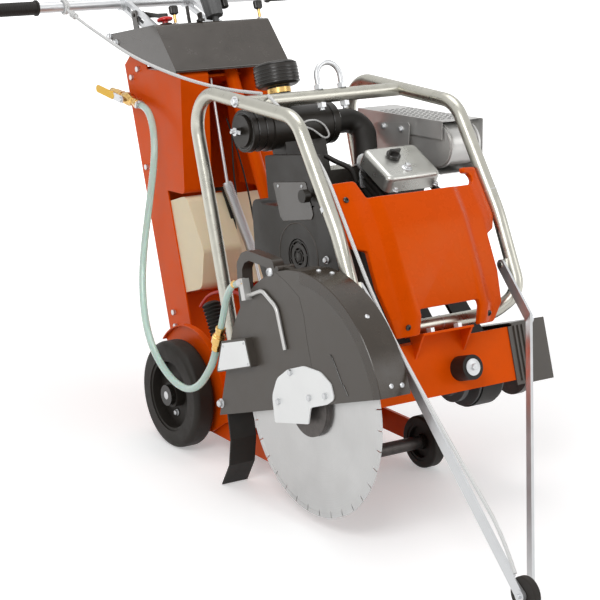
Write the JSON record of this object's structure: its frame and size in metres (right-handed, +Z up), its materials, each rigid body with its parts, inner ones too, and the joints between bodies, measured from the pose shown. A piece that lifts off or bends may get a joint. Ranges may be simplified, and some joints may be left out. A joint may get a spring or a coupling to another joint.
{
  "type": "walk-behind concrete saw",
  "caption": "Walk-behind saw with a large diamond blade on a belt-driven shaft, petrol engine, roll frame, swing arm, folding pointer and water feed.",
  "frame": {"origin": "on the floor, under the centre of the bounding box, on the machine's middle plane", "axes": "+Z up, -Y the way the machine cuts, +X to the machine's left seen from behind turned to the front, the blade on the -X side"},
  "size_m": [0.97, 1.9156, 1.1245],
  "materials": {
    "orange_paint": "powder coat, semi-gloss",
    "orange_plastic": "moulded, glossy",
    "grey_paint": "dark grey, semi-gloss",
    "grey_plastic": "moulded, glossy",
    "galvanised": "galvanised, satin",
    "zinc": "zinc plated",
    "bright_steel": "bright, slightly brushed",
    "blade_steel": "ground, radial",
    "dark_steel": "dark, oiled",
    "cast_grey": "cast",
    "cast_aluminium": "cast, satin",
    "engine_metal": "black, cast",
    "black_plastic": "moulded, fine grain",
    "red_plastic": "moulded",
    "tank_plastic": "moulded, translucent",
    "black_rubber": "moulded",
    "wheel_rubber": "solid rubber",
    "clear_hose": "clear, slightly green",
    "white_rope": "braided",
    "brass": "machined",
    "yellow_paint": "dipped"
  },
  "bodies": {
    "root": {"chassis_frame": "orange_paint", "roll_frame": "galvanised", "lifting_eye": "zinc", "column_frame": "orange_paint", "column_covers": "orange_paint", "console_cover": "grey_plastic", "fuel_tank": "tank_plastic", "lift_screw_tube": "orange_paint", "lift_linkage": "zinc", "shaft_bearings": "cast_grey", "engine_block": "engine_metal", "valve_covers": "cast_aluminium", "blower_housing": "black_plastic", "air_cleaner": "black_plastic", "pre_cleaner": "black_plastic", "intake_elbow": "black_rubber", "muffler": "bright_steel", "muffler_shield": "bright_steel", "front_cover": "orange_plastic", "flange_guard": "grey_paint", "guard_rear": "grey_paint", "guard_cap_plate": "zinc", "spray_tube": "bright_steel", "splash_flap": "black_rubber", "water_valve": "brass", "rear_axle": "zinc", "frame_bolts": "zinc", "drive_belts": "black_rubber", "front_bumper": "black_rubber", "water_hose": "clear_hose", "spray_hose": "clear_hose", "hose_coupling": "brass", "rope_upper": "white_rope", "rope_lower": "white_rope"},
    "blade_drive": {"blade_shaft": "bright_steel", "blade": "blade_steel", "blade_flanges": "dark_steel", "shaft_pulley": "cast_grey"},
    "crankshaft": {"crank_pulley": "cast_grey"},
    "rear_left": {"rear_wheel_left": "wheel_rubber"},
    "rear_right": {"rear_wheel_right": "wheel_rubber"},
    "arm": {"swing_arm": "orange_paint", "front_axle": "dark_steel"},
    "front_left": {"front_wheel_left": "wheel_rubber"},
    "front_right": {"front_wheel_right": "wheel_rubber"},
    "pointer": {"pointer_frame": "zinc"},
    "pointer_roller": {"pointer_wheel": "wheel_rubber"},
    "bars": {"handlebar": "zinc", "handle_grips": "black_rubber"},
    "guard_nose": {"guard_front": "grey_paint"},
    "valve_handle": {"valve_lever": "yellow_paint"},
    "stop_button": {"estop_button": "red_plastic"},
    "throttle": {"throttle_lever": "black_plastic"},
    "knob_left": {"panel_knob_left": "black_plastic"},
    "knob_right": {"panel_knob_right": "black_plastic"},
    "choke": {"choke_knob": "black_plastic"},
    "key": {"key_switch": "black_plastic"},
    "clamp": {"clamp_lever": "black_plastic"},
    "filler_cap": {"oil_cap": "black_plastic"},
    "crank_handle": {"lift_crank": "grey_plastic"}
  },
  "joints": [
    {"name": "blade_spin", "type": "hinge", "parent": "root", "child": "blade_drive", "pos_m": [0, -0.21584, 0.28096], "axis": [-1, 0, 0], "continuous": true},
    {"name": "crank_spin", "type": "hinge", "parent": "root", "child": "crankshaft", "pos_m": [0, 0.06776, 0.53895], "axis": [-1, 0, 0], "continuous": true},
    {"name": "rear_left_roll", "type": "hinge", "parent": "root", "child": "rear_left", "pos_m": [-0.246, 0.42512, 0.134], "axis": [-1, 0, 0], "continuous": true},
    {"name": "rear_right_roll", "type": "hinge", "parent": "root", "child": "rear_right", "pos_m": [0.246, 0.42512, 0.134], "axis": [-1, 0, 0], "continuous": true},
    {"name": "swing_arm_lift", "type": "hinge", "parent": "root", "child": "arm", "pos_m": [0, 0.40432, 0.06999], "axis": [-1, 0, 0], "range_deg": [0, 18]},
    {"name": "front_left_roll", "type": "hinge", "parent": "arm", "child": "front_left", "pos_m": [-0.166, -0.03964, 0.064], "axis": [-1, 0, 0], "continuous": true},
    {"name": "front_right_roll", "type": "hinge", "parent": "arm", "child": "front_right", "pos_m": [0.166, -0.03964, 0.064], "axis": [-1, 0, 0], "continuous": true},
    {"name": "pointer_fold", "type": "hinge", "parent": "root", "child": "pointer", "pos_m": [0, -0.26303, 0.54023], "axis": [-1, 0, 0], "range_deg": [0, 95], "deforming": ["rope_lower"]},
    {"name": "pointer_wheel_roll", "type": "hinge", "parent": "pointer", "child": "pointer_roller", "pos_m": [-0.285, -0.92185, 0.09503], "axis": [-1, 0, 0], "continuous": true},
    {"name": "handlebar_slide", "type": "slide", "parent": "root", "child": "bars", "axis": [0, 0.9434, 0.3316], "range_m": [-0.04, 0.04], "deforming": ["rope_upper"]},
    {"name": "guard_front_lift", "type": "hinge", "parent": "root", "child": "guard_nose", "pos_m": [0, -0.09337, 0.56081], "axis": [-1, 0, 0], "range_deg": [0, 60]},
    {"name": "valve_lever_turn", "type": "hinge", "parent": "root", "child": "valve_handle", "pos_m": [-0.194, 0.78657, 0.81914], "axis": [-1, 0, 0], "range_deg": [0, 90]},
    {"name": "stop_press", "type": "slide", "parent": "root", "child": "stop_button", "axis": [0, -0.309, -0.9511], "range_m": [0, 0.005], "stiffness_N_per_m": 600, "springref_m": -0.003},
    {"name": "throttle_swing", "type": "hinge", "parent": "root", "child": "throttle", "pos_m": [-0.049, 0.6771, 1.00012], "axis": [1, 0, 0], "range_deg": [-30, 30]},
    {"name": "knob_left_pull", "type": "slide", "parent": "root", "child": "knob_left", "axis": [0, 0.309, 0.9511], "range_m": [0, 0.02]},
    {"name": "knob_right_pull", "type": "slide", "parent": "root", "child": "knob_right", "axis": [0, 0.309, 0.9511], "range_m": [0, 0.02]},
    {"name": "choke_pull", "type": "slide", "parent": "root", "child": "choke", "axis": [-1, 0, 0], "range_m": [0, 0.025]},
    {"name": "key_turn", "type": "hinge", "parent": "root", "child": "key", "pos_m": [-0.029, 0.65962, 1.01752], "axis": [0, 0.309, 0.9511], "range_deg": [0, 90]},
    {"name": "clamp_lever_turn", "type": "hinge", "parent": "root", "child": "clamp", "pos_m": [-0.085, 0.86613, 1.02208], "axis": [-1, 0, 0], "range_deg": [0, 90]},
    {"name": "oil_cap_turn", "type": "hinge", "parent": "root", "child": "filler_cap", "pos_m": [0.062, -0.02921, 0.76451], "axis": [0, -0.454, 0.891], "range_deg": [0, 90]},
    {"name": "lift_crank_turn", "type": "hinge", "parent": "root", "child": "crank_handle", "pos_m": [0.025, 0.67884, 1.02595], "axis": [0, 0.4878, 0.8729], "range_deg": [0, 6480]}
  ],
  "couplings": [
    {"joint": "crank_spin", "follows": "blade_spin", "ratio": 1.2222},
    {"joint": "swing_arm_lift", "follows": "lift_crank_turn", "ratio": 0.0027778}
  ]
}
